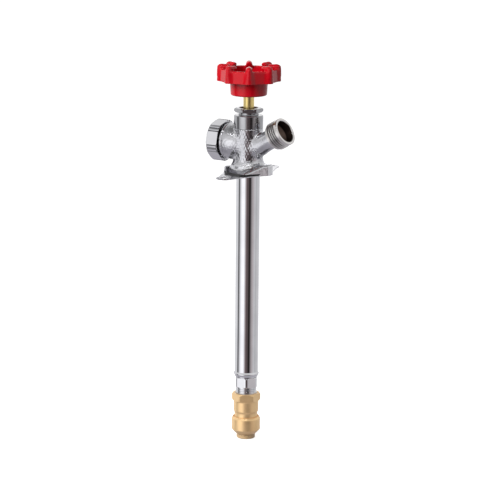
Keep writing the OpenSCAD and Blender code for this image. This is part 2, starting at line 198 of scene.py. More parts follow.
def polygon_section(count, flats, phase, only=None, soft=0.25):
    """A shape for turned() that holds r inside a polygon, with its corners softened over soft mm."""
    def shape(angle, r, z):
        turn = (angle - radians(phase) + pi / count) % (2 * pi / count) - pi / count
        limit = flats / 2 / np.cos(turn)
        held = smooth_min(r, limit, soft)
        return held if only is None else np.where(only(r, z), held, r)
    return shape


# ---------------------------------------------------------------- solid fields, negative inside
def smooth_min(a, b, k):
    """The smaller of two fields, with a fillet where they are within k of each other."""
    h = np.maximum(k - np.abs(a - b), 0) / k
    return np.minimum(a, b) - h * h * k / 4


def smooth_max(a, b, k):
    """The larger of two fields, with a rounded edge where they are within k of each other."""
    return -smooth_min(-a, -b, k)


def rod_field(p, axis_point, direction, radius):
    """Distance to an endless rod and the distance along it."""
    d = np.asarray(direction, float)
    q = [p[i] - axis_point[i] for i in range(3)]
    reach = q[0] * d[0] + q[1] * d[1] + q[2] * d[2]
    side = np.sqrt(np.maximum(q[0] ** 2 + q[1] ** 2 + q[2] ** 2 - reach ** 2, 0))
    return side - radius, reach


def shape_from_field(name, field, low, high, step, smooth_angle=40):
    """The surface where field(p) is zero, as a closed mesh of quads, one point to each crossed cell."""
    axes = [np.arange(low[i], high[i] + step, step) for i in range(3)]
    p = np.meshgrid(*axes, indexing="ij", sparse=False)
    value = field(p).astype(np.float32)
    del p
    nx, ny, nz = value.shape
    inside = value < 0
    total = np.zeros((nx - 1, ny - 1, nz - 1, 3), np.float32)
    hits = np.zeros((nx - 1, ny - 1, nz - 1), np.float32)
    crossings = []
    for axis in range(3):
        lo = [slice(None)] * 3
        hi = [slice(None)] * 3
        lo[axis], hi[axis] = slice(0, -1), slice(1, None)
        a, b = value[tuple(lo)], value[tuple(hi)]
        crossed = (a < 0) != (b < 0)
        crossings.append((crossed, a < 0))
        t = np.where(crossed, a / np.where(crossed, a - b, 1), 0)
        others = [o for o in range(3) if o != axis]
        for u in (0, 1):
            for v in (0, 1):
                take = [slice(None)] * 3
                take[others[0]] = slice(u, crossed.shape[others[0]] - 1 + u)
                take[others[1]] = slice(v, crossed.shape[others[1]] - 1 + v)
                c = crossed[tuple(take)]
                hits += c
                total[..., axis] += np.where(c, t[tuple(take)], 0)
                total[..., others[0]] += c * u
                total[..., others[1]] += c * v
    cells = np.argwhere(hits > 0)
    index = -np.ones(hits.shape, np.int64)
    index[tuple(cells.T)] = np.arange(len(cells))
    spot = tuple(cells.T)
    points = (cells + total[spot] / hits[spot][:, None]) * step + np.array(low)
    for _ in range(3):
        points = settle(points, field, step)
    faces = []
    for axis, (crossed, starts_in) in enumerate(crossings):
        u, v = [(1, 2), (2, 0), (0, 1)][axis]
        at = np.argwhere(crossed)
        keep = (at[:, u] > 0) & (at[:, v] > 0) & (at[:, u] < hits.shape[u]) & (at[:, v] < hits.shape[v])
        at = at[keep]
        out = starts_in[tuple(at.T)]
        quad = []
        for du, dv in ((1, 1), (0, 1), (0, 0), (1, 0)):
            cell = at.copy()
            cell[:, u] -= du
            cell[:, v] -= dv
            quad.append(index[tuple(cell.T)])
        quad = np.stack(quad, axis=1)
        quad[~out] = quad[~out][:, ::-1]
        faces.append(quad)
    return mesh_object(name, points, np.vstack(faces), smooth_angle)


def settle(points, field, step):
    """Moves points onto the field's zero surface along its slope."""
    d = step * 0.1
    here = field(list(points.T))
    slope = np.stack([
        (field([c + d * (i == k) for k, c in enumerate(points.T)]) - here) / d for i in range(3)
    ], axis=1)
    size = np.maximum((slope ** 2).sum(axis=1), 0.05)
    move = -(here / size)[:, None] * slope
    reach = np.linalg.norm(move, axis=1, keepdims=True)
    return points + move * np.minimum(1, 0.6 * step / np.maximum(reach, 1e-9))


# ---------------------------------------------------------------- the cast body
OUTLET_AXIS = (cos(OUTLET_LEAN), 0, sin(OUTLET_LEAN))
OUTLET_ROOT = (0, 0, OUTLET_Z)
BREAKER_AXIS = (-1, 0, 0)
BREAKER_ROOT = (0, 0, BREAKER_Z)


def diamond_field(x, y):
    """Distance outside the raised diamond's outline, which runs round two circles on X and two on Y."""
    x, y = np.abs(x), np.abs(y)
    side, side_r, end, end_r = DIAMOND_SIDE, DIAMOND_SIDE_R, DIAMOND_END, DIAMOND_END_R
    length = hypot(side, end)
    lean = (end_r - side_r) / length
    nx = (end + lean * side) / length
    ny = (side - lean * end) / length
    flat = (x - side) * nx + y * ny - side_r
    corners = np.minimum(np.hypot(x - side, y) - side_r, np.hypot(x, y - end) - end_r)
    off_side = (x - side) * -ny + y * nx
    off_end = x * -ny + (y - end) * nx
    return np.where((off_side > 0) & (off_end < 0), flat, corners)


def flange_field(p):
    """Thin base plate with two ears, under a raised diamond with well rounded shoulders."""
    x, y, z = p
    middle = np.hypot(x, y) - PLATE_R
    ears = np.hypot(x, np.abs(y) - EAR_Y) - EAR_R
    wide, narrow, waist_start = 19, 7.6, 12
    reach = np.clip((np.abs(y) - waist_start) / (EAR_Y - waist_start), 0, 1)
    waist = smooth_max(np.abs(x) - (wide + (narrow - wide) * reach), np.abs(y) - EAR_Y, 1)
    outline = smooth_min(smooth_min(middle, ears, 2), waist, 3)
    plate = smooth_max(outline, smooth_max(z - PLATE_TOP, -z, 0.3), 0.7)
    # The top rises towards the outlet and falls towards both ears
    edge = diamond_field(x, y)
    shoulder, crown, rise_to_outlet, fall_to_ears, flat_half = 2.4, 7.6, 0.11, 0.36, 7
    top = crown + rise_to_outlet * x - fall_to_ears * np.clip(np.abs(y) - flat_half, 0, 30)
    inset = np.maximum(edge + shoulder, 0)
    rise = np.maximum(z - top + shoulder, 0)
    bar = np.where((inset > 0) & (rise > 0), np.hypot(inset, rise) - shoulder, np.maximum(edge, z - top))
    bar = np.maximum(bar, -gap_field(p, edge))
    return smooth_min(plate, np.maximum(bar, -z), 0.3)


def gap_field(p, edge):
    """The shadow gap between the base plate and the sloping sides of the raised diamond."""
    depth = 1.8
    height = np.abs(p[2] - GAP_Z) - GAP_HALF
    return np.maximum(np.maximum(height, -depth - edge), np.abs(np.abs(p[1]) - GAP_Y) - GAP_REACH)


# Waves per millimetre along X, Y and Z, in radians, and where each wave starts
SKIN_WAVES = (
    (2.3, 0.9, 1.1, 0.3), (-1.2, 2.2, 0.8, 1.7), (0.7, -1.4, 2.3, 4.1),
    (1.9, 1.6, -1.3, 2.6), (-0.8, 1.1, 2.5, 5.2), (2.4, -1.5, 0.6, 0.9),
)


def skin(p):
    """The uneven skin of a sand casting, as crossing waves about 2.5 mm long, stronger on the column."""
    x, y, z = p
    total = 0
    for kx, ky, kz, start in SKIN_WAVES:
        total = total + np.sin(kx * x + ky * y + kz * z + start)
    _, along_outlet = rod_field(p, OUTLET_ROOT, OUTLET_AXIS, 0)
    depth, column_depth, column_r, neck_start = 0.022, 0.014, 16.5, 14
    column = np.clip((column_r - np.hypot(x, y)) / 2, 0, 1)
    smoother_neck = 1 - 0.75 * np.clip((along_outlet - neck_start) / 4, 0, 1)
    clear_of_plate = np.clip((z - 2.5) / 3, 0, 1)
    return (depth + column_depth * column) * smoother_neck * total * clear_of_plate


def body_field(p):
    """The casting: flange, column, outlet neck and breaker bowl, blended, less its hollows."""
    flange = flange_field(p)
    solid = smooth_min(flange, column_field(p), 2.5)
    neck, along_outlet = neck_field(p)
    solid = smooth_min(solid, neck, 3.0)
    bowl, along_breaker = bowl_field(p)
    solid = smooth_min(solid, bowl, 1.6)
    return np.maximum(solid + skin(p), -hollow_field(p, along_outlet, along_breaker))


def column_field(p):
    """The upright column, which flares into the flange."""
    z = p[2]
    barrel, _ = rod_field(p, (0, 0, 0), (0, 0, 1), BODY_R)
    flare, flare_top, flare_height = 2.2, 15, 7
    barrel = barrel - flare * np.clip((flare_top - z) / flare_height, 0, 1) ** 2
    return np.maximum(barrel, smooth_max(z - BONNET_Z, BODY_LOW - z, 0.3))


def neck_field(p):
    """The outlet's neck, with a swelling at its root and a shoulder behind the thread."""
    neck, reach = rod_field(p, OUTLET_ROOT, OUTLET_AXIS, NECK_R)
    swell_at, swell_length, shoulder_at = 13, 6, 30.6
    swell = 1.0 * np.exp(-((reach - swell_at) / swell_length) ** 2)
    shoulder = 2.9 * np.clip((reach - shoulder_at) / 1.4, 0, 1) ** 1.5
    ends = smooth_max(reach - NECK_END, 2 - reach, 0.4)
    return smooth_max(neck - swell - shoulder, ends, 0.5), reach


def bowl_field(p):
    """The breaker's bowl, which opens towards its face, with a fine line near its rim."""
    bowl, reach = rod_field(p, BREAKER_ROOT, BREAKER_AXIS, 0)
    root, root_r, length, line_at, line_depth = 0.5, 13.4, 15, 19.3, 0.45
    grow = np.clip((reach - root) / length, 0, 1)
    line = line_depth * np.exp(-((reach - line_at) / 0.45) ** 2)
    radius = root_r + (BOSS_R - root_r) * np.sin(grow * pi / 2) - line
    return smooth_max(bowl - radius, smooth_max(reach - BOSS_FACE, root - reach, 0.4), 0.8), reach


def hollow_field(p, along_outlet, along_breaker):
    """The barrel's socket, waterway, screw guide, gland, outlet bore, breaker chamber and slots."""
    z = p[2]
    core, _ = rod_field(p, (0, 0, 0), (0, 0, 1), 0)
    outlet, _ = rod_field(p, OUTLET_ROOT, OUTLET_AXIS, 0)
    breaker, _ = rod_field(p, BREAKER_ROOT, BREAKER_AXIS, 0)
    waterway_r, waterway_top, bonnet_wall, bonnet_low = 9.5, 31, 2.6, 41.0
    recess_r, recess_start = 10.4, 32.1
    port_r, chamber_r, chamber_start, seat_r, seat_start = 5, 9.8, 12, 11.5, 14.5
    hole = np.maximum(core - TUBE_R, z - TUBE_TOP)
    for cut in (
        np.maximum(core - waterway_r, z - waterway_top),
        core - GUIDE_R,
        np.maximum(core - (BONNET_R - bonnet_wall), bonnet_low - z),
        np.maximum(outlet - WATERWAY_R, -along_outlet),
        np.maximum(outlet - recess_r, recess_start - along_outlet),
        np.maximum(breaker - port_r, -along_breaker),
        np.maximum(breaker - chamber_r, chamber_start - along_breaker),
        np.maximum(breaker - seat_r, seat_start - along_breaker),
        slot_field(p),
    ):
        hole = np.minimum(hole, cut)
    return hole


def slot_field(p):
    """The two screw slots, which run along Y."""
    off = np.abs(np.abs(p[1]) - EAR_Y)
    return np.hypot(p[0], off - np.clip(off, 0, SLOT_HALF)) - SLOT_R


def body_casting():
    """The casting's mesh, made in a box that its flange, neck and bowl fit in."""
    low, high = (-27.0, -50.2, -1.3), (36.4, 50.2, 48.5)
    step = 0.55
    return shape_from_field("valve_body_casting", body_field, low, high, step)


def along(piece, root, direction):
    """Turns a piece made along +Z to lie along direction from root."""
    turn = Vector((0, 0, 1)).rotation_difference(Vector(direction)).to_matrix().to_4x4()
    piece.data.transform(turn)
    piece.data.transform(turn.Translation(Vector(root) * MM))
    return piece


def bonnet():
    """The machined top of the casting, with its groove and chamfer."""
    low, groove_top = 40.9, 42.1
    outline = rounded([
        (BONNET_R - 2.8, low, 0), (BONNET_R - 0.5, low, 0), (BONNET_R - 0.5, groove_top, 0.15),
        (BONNET_R, groove_top + 0.25, 0.2), (BONNET_R, BONNET_TOP - 0.6, 0.3),
        (BONNET_R - 0.6, BONNET_TOP, 0.3), (GLAND_R + 0.3, BONNET_TOP, 0.2),
        (GLAND_R, BONNET_TOP - 0.3, 0), (GLAND_R, GUIDE_TOP, 0),
        (GUIDE_R, GUIDE_TOP, 0), (GUIDE_R, low, 0),
    ])
    return turned("valve_body_bonnet", outline, 160)


def outlet_thread():
    """The outlet's end: a right-handed helical thread that runs out at both ends, and the mouth."""
    thread_low, thread_high, collar_start, collar_end, step = 33.0, 42.6, 44.0, 45.1, 0.1
    heights = np.arange(THREAD_START, collar_start - step, step)
    heights = np.concatenate([heights, [collar_start, collar_end]])
    crest_share, root_share, collar_share = 0.2, 0.3, 0.85

    def shape(angle, r, height):
        phase = (height / THREAD_PITCH - angle / (2 * pi)) % 1.0
        rise = np.clip((np.abs(phase - 0.5) * 2 - root_share) / (1 - crest_share - root_share), 0, 1)
        run_in = np.clip((height - thread_low) / 1.2, 0, 1)
        run_out = np.clip((thread_high - height) / 1.4, 0, 1)
        profile = rise * rise * (3 - 2 * rise)
        collar = np.clip((height - thread_high) / 0.5, 0, 1)
        share = np.maximum(profile * (run_in * run_out), collar_share * collar)
        raised = r + (THREAD_R - THREAD_ROOT_R) * share
        return np.where(np.abs(r - THREAD_ROOT_R) < 0.001, raised, r)

    outer = [(THREAD_ROOT_R, height) for height in heights]
    mouth_floor, throat = 38.0, 35.0
    rim = rounded([
        (13.29, OUTLET_REACH - 0.9, 0), (13.2, OUTLET_REACH, 0.7), (MOUTH_R + 0.4, OUTLET_REACH, 0.4),
        (MOUTH_R, OUTLET_REACH - 0.6, 0.2), (MOUTH_R, mouth_floor, 0.3),
        (WATERWAY_R, throat, 0.3), (WATERWAY_R, THREAD_START, 0),
    ])
    piece = turned("valve_body_outlet_thread", np.vstack([outer, rim]), 192, shape, 60)
    return along(piece, OUTLET_ROOT, OUTLET_AXIS)


# ---------------------------------------------------------------- handle
LOBES = 8
WHEEL_R = 29.5
WALL_R = 25.4            # from the axis to the middle of a side
WALL_FLARE = 0.8         # by which the wall is wider at its foot
RIM_BOTTOM = 85.7
RIM_TOP = 97.3
LOBE_TOP = 101.4
HUB_BOTTOM = 72.7


def handle_field(p):
    """The wheel: an eight-sided wall with a lobe at each corner, over a round hub, dished inside."""
    x, y, z = p
    r = np.hypot(x, y)
    angle = np.arctan2(y, x) - radians(FACING)
    sector = 2 * pi / LOBES
    turn = (angle + sector / 2) % sector - sector / 2
    forward, side = r * np.cos(turn), r * np.sin(turn)
    rim = wheel_wall_field(r, turn, forward, side, z)
    ridge, rib = lobe_field(forward, side, z)
    rim = smooth_min(rim, ridge, 1.6)
    hub_r, hub_flare, hub_reach = 16.9, 0.8, 90
    foot = hub_r + hub_flare * np.clip((z - HUB_BOTTOM) / 14, 0, 1)
    hub = smooth_max(r - foot, smooth_max(HUB_BOTTOM - z, z - hub_reach, 1.0), 1.5)
    solid = smooth_min(rim, hub, 0.9)
    solid = smooth_max(solid, -dish_field(r, z), 1.1)
    stem_r = 5.0
    return np.maximum(smooth_min(solid, rib, 0.8), -(r - stem_r))


def wheel_wall_field(r, turn, forward, side, z):
    """The wheel's outer wall, with sides drawn in between rounded corners, a little wider below."""
    flare = WALL_FLARE * np.clip((RIM_TOP - z) / (RIM_TOP - RIM_BOTTOM), -0.4, 1)
    across = np.abs(r * np.cos(pi / LOBES - np.abs(turn)))
    flat = across - WALL_R - flare
    bulge_in, bulge_r, corner_in = 4.4, 3.5, 1.0
    bulge = np.hypot(forward - (WHEEL_R - bulge_in), side) - bulge_r - flare * 1.2
    corner = smooth_max(flat, forward - (WHEEL_R - corner_in) - flare, 1.0)
    outer = smooth_min(smooth_max(corner, forward - WHEEL_R, 1), bulge, 2.2)
    lip = RIM_TOP - 0.35 * np.cos(turn * LOBES / 2) ** 2
    return smooth_max(smooth_max(outer, z - lip, 1.8), RIM_BOTTOM - z, 0.5)


def lobe_field(forward, side, z):
    """A ridge laid along the radius, round on top and at both ends, and its rib down the inside."""
    mid, half, end_stretch, lobe_r, inner_r, slope = 22.7, 2.3, 1.4, 2.9, 18.4, 0.85
    nearest = forward - np.clip(forward, mid - half, mid + half)
    height = z - np.clip(z, RIM_BOTTOM + 6, LOBE_TOP - lobe_r)
    ridge = np.sqrt((nearest / end_stretch) ** 2 + side ** 2 + height ** 2) - lobe_r
    rib = smooth_max(ridge, inner_r + slope * (LOBE_TOP - 3.0 - z) - forward, 1.6)
    return ridge, rib


def dish_field(r, z):
    """The wheel's open inside: a bowl, and a well round the boss that the screw holds."""
    bowl_r, bowl_low, well_r, well_low, well_top, draft = 22.6, 88, 14.2, 75, 92, 0.05
    boss_r, boss_top = 8.0, 84.0
    bowl = smooth_max(r - bowl_r - 0.06 * (z - bowl_low), bowl_low + 0.4 - z, 2.5)
    well_ends = smooth_max(well_low + 0.4 - z, z - well_top, 1)
    well = smooth_max(r - well_r - draft * (z - well_low), well_ends, 1.5)
    boss = smooth_max(r - boss_r, z - boss_top, 0.8)
    return smooth_min(bowl, smooth_max(well, -boss, 0.8), 1.2)


def handle():
    """The wheel's mesh."""
    low, high = (-31.2, -31.2, 71.6), (31.2, 31.2, 103.2)
    step = 0.45
    return shape_from_field("handle_wheel", handle_field, low, high, step)


# ---------------------------------------------------------------- turned pieces
def packing_nut():
    """A hexagon with a countersunk top, over the part that goes into the gland."""
    top, low, end, bore_r, flats = 61.0, 57.1, 49.5, 5.4, 23.8
    outline = rounded([
        (bore_r, end, 0), (GLAND_R, end, 0), (GLAND_R, low - 0.05, 0.2), (12.4, low, 0.3),
        (13.6, low + 0.8, 0.4), (13.6, top - 0.9, 0.4), (12.2, top, 0.4),
        (8.9, top, 0.2), (8.3, top - 0.6, 0.2), (6.6, top - 2.4, 0.3), (bore_r, top - 2.6, 0),
    ])
    flat_turn = 4.6
    hexagon = polygon_section(6, flats, flat_turn, lambda r, z: (z > low - 0.2) & (r > GLAND_R + 0.2), 0.35)
    return turned("packing_nut_chrome", outline, 180, hexagon)


def barrel_tube():
    """The long tube, with a rolled bead near its lower end."""
    bead, bead_height = TUBE_LOW + BEAD_UP, BEAD_R - TUBE_R
    roll = [
        (TUBE_R + bead_height * 0.5 * (1 + cos(pi * t)), bead + t * BEAD_HALF)
        for t in np.linspace(-1, 1, 17)
    ]
    outline = [(TUBE_IN_R, TUBE_LOW), (TUBE_R - 0.3, TUBE_LOW), (TUBE_R, TUBE_LOW + 0.25)]
    outline += [point for point in roll if point[1] > TUBE_LOW + 0.3]
    outline += [(TUBE_R, z) for z in (-150, -100, -50, 0, TUBE_TOP)]
    outline += [(TUBE_IN_R, TUBE_TOP)]
    return turned("barrel_tube_chrome", outline, 160)


def seat_body():
    """The inlet fitting: a spigot in the barrel with the valve seat, a hexagon and a threaded neck."""
    spigot_top, seat_low, seat_top = -178, -197.2, -196
    hex_top, hex_low, neck_low, low = -194.7, -204.0, -210.0, -224.0
    neck_r, groove_r, hex_r, bore_r = 9.9, 9.5, 11.1, 7.0
    neck = [(neck_r, hex_low - 0.1, 0)]
    for z in (-205.2, -206.8, -208.4):
        neck += [
            (neck_r, z, 0.1), (groove_r, z - 0.25, 0.1), (groove_r, z - 0.55, 0.1), (neck_r, z - 0.8, 0.1),
        ]
    inside = [
        (8.9, spigot_top, 0), (8.9, seat_low, 0), (5.4, seat_low, 0), (5.4, seat_top, 0.1),
        (4.2, seat_top, 0.1), (4.2, seat_low - 1, 0), (6.0, hex_low, 0), (bore_r, hex_low, 0),
        (bore_r, low, 0.2), (9.6, low, 0.4), (10.2, low + 0.8, 0.3), (10.2, neck_low, 0),
        (neck_r, neck_low, 0.1),
    ]
    outside = [
        (10.4, hex_low, 0.25), (hex_r, hex_low + 0.7, 0.4), (hex_r, hex_top - 0.7, 0.4),
        (10.4, hex_top, 0.3), (9.6, hex_top, 0.15), (9.6, TUBE_LOW, 0), (TUBE_IN_R, TUBE_LOW, 0),
        (TUBE_IN_R, spigot_top, 0),
    ]

    def is_hexagon(r, z):
        return (z < hex_top + 0.1) & (z > hex_low - 0.05) & (r > 9.95)

    # A corner faces the view
    hexagon = polygon_section(6, 20.2, FACING, is_hexagon, 0.3)
    return turned("seat_body_chrome", rounded(inside + neck[::-1] + outside), 180, hexagon)


def coupling_body():
    """The coupling's body: hexagon, barrel, waist and the spigot under its end cap."""
    top, hexagon_low, stop_low, low = COUPLING_TOP, -217.3, -229, -236.0
    hex_r, barrel_r, waist_r, spigot_r, socket_r, stop_r, pipe_r = 13.6, 11.75, 10.9, 12.0, 10.35, 6.5, 8.0
    socket_low = -224
    outline = rounded([
        (stop_r, stop_low, 0), (stop_r, socket_low, 0), (socket_r, socket_low, 0),
        (socket_r, top - 0.6, 0.2), (waist_r, top, 0.3), (12.3, top, 1.0), (hex_r, top - 1.6, 1.2),
        (hex_r, hexagon_low + 0.9, 0.8), (12.9, hexagon_low, 0.5), (11.9, hexagon_low - 0.2, 0.2),
        (barrel_r, -218.2, 0.3), (barrel_r, -227.2, 1.2), (waist_r, -229.2, 0.8), (waist_r, -233.6, 0.6),
        (spigot_r, -234.0, 0), (spigot_r, low, 0), (pipe_r, low, 0), (pipe_r, stop_low + 1, 0),
        (stop_r, stop_low + 1, 0),
    ])
    # A flat faces the view
    hexagon = polygon_section(6, 23.8, FACING - 30, lambda r, z: (z > hexagon_low - 0.1) & (r > 11.6), 0.45)
    return turned("coupling_body_brass", outline[:-1], 180, hexagon)


def coupling_end_cap():
    """The end cap, which tapers to the mouth round the release collar."""
    spigot_r, cap_r, mouth_r, seat_r, ring_r = 12.0, 13.5, 8.9, 9.8, 10.7
    low, floor, ring_low, spigot_low = -249.3, -247.9, -241.9, -236.0
    outline = rounded([
        (spigot_r, -234.4, 0), (spigot_r, -233.4, 0.1), (12.2, -233.0, 0.5), (cap_r, -234.9, 1.0),
        (cap_r, -245.4, 1.3), (9.9, low, 0.8), (mouth_r, low, 0.3), (mouth_r, floor, 0),
        (seat_r, floor, 0), (seat_r, ring_low, 0), (ring_r, ring_low, 0), (ring_r, spigot_low, 0),
        (spigot_r, spigot_low, 0),
    ])
    return turned("coupling_end_cap_brass", outline, 160)


def release_collar():
    """The collar at the coupling's mouth, with the flange that keeps it in."""
    inner_r, outer_r, flange_r, top, low = 8.0, 8.8, 9.4, -243.8, -254.0
    outline = rounded([
        (inner_r, top, 0), (inner_r, low + 0.4, 0.2), (8.4, low, 0.3), (outer_r, low + 0.4, 0.3),
        (outer_r, -247.7, 0), (flange_r, -247.7, 0), (flange_r, -244.6, 0), (8.9, top, 0.2),
    ])
    return turned("release_collar_plastic", outline, 128)


def groove_share(angle):
    """How deep the cap's grooves are, from 0 to 1, at an angle round its axis."""
    turn = np.abs((angle - radians(30 + CAP_TURN) + pi / 6) % (pi / 3) - pi / 6)
    nearest = np.minimum(*(np.abs(turn - radians(groove)) for groove in GROOVE_TURNS))
    return np.clip(1 - nearest / radians(GROOVE_HALF), 0, 1)


def in_cap_groove(p):
    """Where the cap's grooves are, which get painted shade."""
    side, _ = rod_field(p, BREAKER_ROOT, BREAKER_AXIS, 0)
    return (groove_share(np.arctan2(p[1], p[2] - BREAKER_Z)) > 0.15) & (side > BOSS_R)


def breaker_cap():
    """Six flats with turned corners between grooves, a turned-in rim and a domed end with a ring in it."""
    dome_r, dome_drop, ring_r, groove_depth, grooved_from = 17.8, 0.3, 12.6, 0.75, 17.1
    dome = [(0, CAP_END)]
    dome += [(dome_r * t, CAP_END - dome_drop * t * t) for t in np.linspace(0.1, 0.6, 6)]
    dome += [
        (ring_r - 1.2, CAP_END - 0.7), (ring_r, CAP_END - 0.75), (ring_r + 0.6, CAP_END - 0.16),
        (dome_r, CAP_END - dome_drop),
    ]
    inner_r, insert_r, air_r, floor, step, end_wall = 16.6, 12.8, 11.0, 32.2, 27.8, 31.0
    shell = rounded([
        (18.4, CAP_END - 0.4, 0.4), (CAP_TURNED_R, CAP_END - 1.1, 0.5),
        (CAP_TURNED_R, CAP_RIM + 0.6, 0.4), (18.6, CAP_RIM, 0.4), (17.0, CAP_RIM, 0.4),
        (inner_r, CAP_RIM + 0.6, 0.2), (inner_r, floor, 0.5), (insert_r, floor, 0.2),
        (insert_r, step, 0.2), (air_r, step, 0.2), (air_r, end_wall, 0), (0, end_wall, 0),
    ])
    hexagon = polygon_section(6, CAP_AF, 30 + CAP_TURN, None, 0.12)

    def shape(angle, r, z):
        return np.where(r > grooved_from, hexagon(angle, r, z) - groove_depth * groove_share(angle), r)

    piece = turned("breaker_cap_chrome", np.vstack([dome, shell]), 512, shape, 30)
    return along(piece, BREAKER_ROOT, BREAKER_AXIS)


def breaker_spring():
    """Open turns of round wire between the poppet's plate and the spider."""
    low, high, turns, coil_r, wire_r = 15.25, SPIDER_LOW - 0.2, 3.25, 4.6, 0.2
    steps, sides = 90, 8
    points, faces = [], []
    for i in range(steps + 1):
        turn = 2 * pi * turns * i / steps
        height = low + (high - low) * i / steps
        for j in range(sides):
            round_wire = 2 * pi * j / sides
            r = coil_r + wire_r * cos(round_wire)
            points.append((r * cos(turn), r * sin(turn), height + wire_r * sin(round_wire)))
    for i in range(steps):
        for j in range(sides):
            here, there, n = i * sides, (i + 1) * sides, (j + 1) % sides
            faces.append((here + j, there + j, there + n, here + n))
    faces.append(tuple(range(sides)))
    faces.append(tuple(reversed(range(steps * sides, (steps + 1) * sides))))
    return along(mesh_object("breaker_spring_coil", points, faces, 60), BREAKER_ROOT, BREAKER_AXIS)


# ---------------------------------------------------------------- materials
def material(name):
    """A material with its nodes, links and shader, and the place on the object in metres."""
    mat = bpy.data.materials.new(name)
    mat.use_nodes = True
    nodes, links = mat.node_tree.nodes, mat.node_tree.links
    shader = nodes["Principled BSDF"]
    place = nodes.new("ShaderNodeTexCoord")
    return mat, nodes, links, shader, place.outputs["Object"]


def noise(nodes, links, place, scale, detail=3, stretch=None):
    """Noise at scale features per metre, stretched by a vector where given."""
    tex = nodes.new("ShaderNodeTexNoise")
    tex.inputs["Scale"].default_value = scale
    tex.inputs["Detail"].default_value = detail
    if stretch is not None:
        grow = nodes.new("ShaderNodeVectorMath")
        grow.operation = "MULTIPLY"
        grow.inputs[1].default_value = stretch
        links.new(place, grow.inputs[0])
        place = grow.outputs[0]
    links.new(place, tex.inputs["Vector"])
    return tex.outputs["Fac"]


def spread(nodes, links, value, low, high, at_low=0.3, at_high=0.7):
    """Maps value from at_low..at_high to low..high."""
    ramp = nodes.new("ShaderNodeMapRange")
    ramp.inputs["From Min"].default_value = at_low
    ramp.inputs["From Max"].default_value = at_high
    ramp.inputs["To Min"].default_value = low
    ramp.inputs["To Max"].default_value = high
    links.new(value, ramp.inputs["Value"])
    return ramp.outputs["Result"]


def bump(nodes, links, shader, height, strength, distance):
    """Roughens the shader's surface by a height."""
    node = nodes.new("ShaderNodeBump")
    node.inputs["Strength"].default_value = strength
    node.inputs["Distance"].default_value = distance
    links.new(height, node.inputs["Height"])
    links.new(node.outputs["Normal"], shader.inputs["Normal"])


def blend_node(nodes, links, factor):
    """A mix of colours by a factor."""
    mix = nodes.new("ShaderNodeMix")
    mix.data_type = "RGBA"
    links.new(factor, mix.inputs["Factor"])
    return mix


def tint(nodes, links, shader, factor, dark, light):
    """Colours the shader from dark to light by a factor."""
    mix = blend_node(nodes, links, factor)
    mix.inputs["A"].default_value = (*dark, 1)
    mix.inputs["B"].default_value = (*light, 1)
    links.new(mix.outputs["Result"], shader.inputs["Base Color"])


def metal(name, dark, light, rough, grain, grain_strength, grain_depth, stretch=None):
    """A metal with drifting colour and roughness and a fine grain in its surface."""
    mat, nodes, links, shader, place = material(name)
    shader.inputs["Metallic"].default_value = 1.0
    patches = noise(nodes, links, place, 60, 4)
    tint(nodes, links, shader, spread(nodes, links, patches, 0, 1), dark, light)
    links.new(spread(nodes, links, patches, *rough), shader.inputs["Roughness"])
    bump(nodes, links, shader, noise(nodes, links, place, grain, 2, stretch), grain_strength, grain_depth)
    return mat


def enamel():
    """Glossy red paint with a faint orange-peel surface."""
    mat, nodes, links, shader, place = material("red_enamel")
    dark, light = (0.48, 0.002, 0.009), (0.57, 0.004, 0.013)
    patches = noise(nodes, links, place, 90, 3)
    tint(nodes, links, shader, spread(nodes, links, patches, 0, 1), dark, light)
    links.new(spread(nodes, links, patches, 0.10, 0.16), shader.inputs["Roughness"])
    shader.inputs["Specular IOR Level"].default_value = 0.27
    bump(nodes, links, shader, noise(nodes, links, place, 420, 2), 0.08, 0.0002)
    return mat


def plain(name, dark, light, roughness, grain=900, strength=0.15):
    """Plastic or rubber with a faint moulded grain."""
    mat, nodes, links, shader, place = material(name)
    patches = noise(nodes, links, place, 150, 3)
    tint(nodes, links, shader, spread(nodes, links, patches, 0, 1), dark, light)
    links.new(spread(nodes, links, patches, roughness - 0.05, roughness + 0.05), shader.inputs["Roughness"])
    bump(nodes, links, shader, noise(nodes, links, place, grain, 2), strength, 0.0001)
    return mat


def satin_brass():
    """Bead-blasted brass, which shines less than bare metal."""
    mat = metal("satin_brass", (0.86, 0.57, 0.28), (0.94, 0.66, 0.35), (0.29, 0.38), 1500, 0.18, 0.00012)
    mat.node_tree.nodes["Principled BSDF"].inputs["Metallic"].default_value = 0.66
    return mat


# Each metal: colours of its dark and light patches, range of roughness, then its grain's features per
# metre, strength, depth in metres and stretch
POLISHED = metal("polished_chrome", (0.60, 0.60, 0.62), (0.66, 0.66, 0.68), (0.03, 0.05), 500, 0.02, 0.0001)
CAST = metal("cast_chrome", (0.38, 0.38, 0.40), (0.58, 0.58, 0.60), (0.05, 0.12), 620, 0.5, 0.00035)
ALONG_Y = (3, 0.5, 3)
FLANGE = metal(
    "flange_chrome", (0.50, 0.50, 0.52), (0.66, 0.66, 0.68), (0.16, 0.26), 130, 0.6, 0.0006, ALONG_Y)
ROUND_Z = (0.15, 0.15, 5)
MACHINED = metal(
    "machined_chrome", (0.34, 0.34, 0.35), (0.40, 0.40, 0.41), (0.10, 0.16), 900, 0.12, 0.0001, ROUND_Z)
SATIN = metal("satin_chrome", (0.56, 0.54, 0.53), (0.62, 0.60, 0.59), (0.13, 0.20), 900, 0.12, 0.0001)
YELLOW_BRASS = metal(
    "yellow_brass", (0.72, 0.55, 0.20), (0.80, 0.64, 0.28), (0.28, 0.38), 700, 0.10, 0.0001, (0.1, 0.1, 4))
SATIN_BRASS = satin_brass()
# Bare brass made far darker than its own colour: painted shade in bores and recesses.
BARE_BRASS_AND_SHADE = metal("bare_brass_and_painted_shade", (0.06, 0.042, 0.034), (0.15, 0.105, 0.085), (0.38, 0.55), 900, 0.4, 0.0003)
